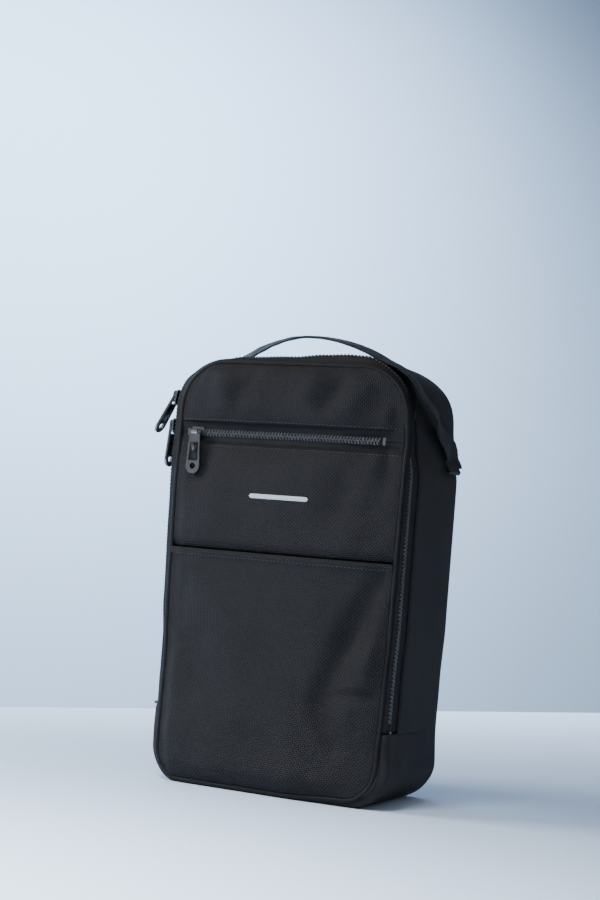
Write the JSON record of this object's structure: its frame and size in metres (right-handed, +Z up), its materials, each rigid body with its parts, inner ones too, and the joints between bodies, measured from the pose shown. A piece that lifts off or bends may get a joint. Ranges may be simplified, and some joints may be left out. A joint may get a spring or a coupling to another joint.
{
  "type": "golf shoe bag",
  "caption": "Upright padded shoe bag with a zip-round front that folds down, a zipped front pocket and an arched webbing carrying handle.",
  "frame": {"origin": "centre of the base, on the surface the bag stands on", "axes": "+Z up, front towards -Y, +X to the right seen from the front"},
  "size_m": [0.2521, 0.1199, 0.3884],
  "materials": {
    "ballistic_nylon": "coarse matt weave",
    "side_nylon": "fine matt weave",
    "piping_cloth": "satin",
    "zip_tape": "herringbone tape",
    "zip_teeth": "moulded, satin",
    "zip_metal": "black nickel",
    "webbing": "ribbed webbing",
    "foam": "matt",
    "lining": "fine woven lining",
    "board": "matt"
  },
  "bodies": {
    "shell": {"back_panel": "ballistic_nylon", "back_foam": "foam", "back_lining": "lining", "rear_piping": "piping_cloth", "upper_gusset": "side_nylon", "gusset_foam": "foam", "gusset_lining": "lining", "lower_gusset": "side_nylon", "base_foam": "foam", "base_lining": "lining", "base_board": "board", "base_front_panel": "ballistic_nylon", "base_front_foam": "foam", "base_front_lining": "lining", "base_piping": "piping_cloth", "main_zip_tape_outer": "zip_tape", "main_zip_teeth_outer": "zip_teeth", "main_zip_stops": "zip_teeth", "handle_tab_left": "webbing", "handle_tab_right": "webbing"},
    "front": {"front_lower_panel": "ballistic_nylon", "front_middle_panel": "ballistic_nylon", "front_upper_panel": "ballistic_nylon", "front_foam": "foam", "pocket_backing": "lining", "front_lining": "lining", "front_piping": "piping_cloth", "main_zip_tape_inner": "zip_tape", "main_zip_teeth_inner": "zip_teeth", "pocket_zip_teeth_upper": "zip_teeth", "pocket_zip_teeth_lower": "zip_teeth", "pocket_zip_tape_upper": "zip_tape", "pocket_zip_tape_lower": "zip_tape", "pocket_zip_stops": "zip_teeth"},
    "pocket_slider": {"pocket_slider": "zip_metal"},
    "pocket_pull": {"pocket_pull": "zip_metal"},
    "main_slider_upper": {"main_slider_upper": "zip_metal"},
    "main_pull_upper": {"main_pull_upper": "zip_metal"},
    "main_slider_lower": {"main_slider_lower": "zip_metal"},
    "main_pull_lower": {"main_pull_lower": "zip_metal"},
    "handle": {"handle_webbing": "webbing"}
  },
  "joints": [
    {"name": "front_fold", "type": "hinge", "parent": "shell", "child": "front", "pos_m": [0, -0.0565, 0.061], "axis": [1, 0, 0], "range_deg": [0, 98]},
    {"name": "pocket_slide", "type": "slide", "parent": "front", "child": "pocket_slider", "axis": [1, 0, 0], "range_m": [0, 0.166]},
    {"name": "pocket_pull_swing", "type": "hinge", "parent": "pocket_slider", "child": "pocket_pull", "pos_m": [-0.082, -0.0615, 0.298], "axis": [-1, 0, 0], "range_deg": [0, 150]},
    {"name": "upper_slide_round_corner", "type": "hinge", "parent": "shell", "child": "main_slider_upper", "pos_m": [-0.065, -0.045, 0.319], "axis": [0, 1, 0], "range_deg": [0, 70]},
    {"name": "upper_pull_swing", "type": "hinge", "parent": "main_slider_upper", "child": "main_pull_upper", "pos_m": [-0.11339, -0.045, 0.32841], "axis": [0, 1, 0], "range_deg": [0, 142]},
    {"name": "lower_slide", "type": "slide", "parent": "shell", "child": "main_slider_lower", "axis": [0, 0, -1], "range_m": [0, 0.231]},
    {"name": "lower_pull_swing", "type": "hinge", "parent": "main_slider_lower", "child": "main_pull_lower", "pos_m": [-0.1143, -0.045, 0.303], "axis": [0, 1, 0], "range_deg": [0, 42]},
    {"name": "handle_lean", "type": "hinge", "parent": "shell", "child": "handle", "pos_m": [0, 0.035, 0.297], "axis": [1, 0, 0], "range_deg": [-60, 0], "stiffness_Nm_per_rad": 0.2}
  ]
}
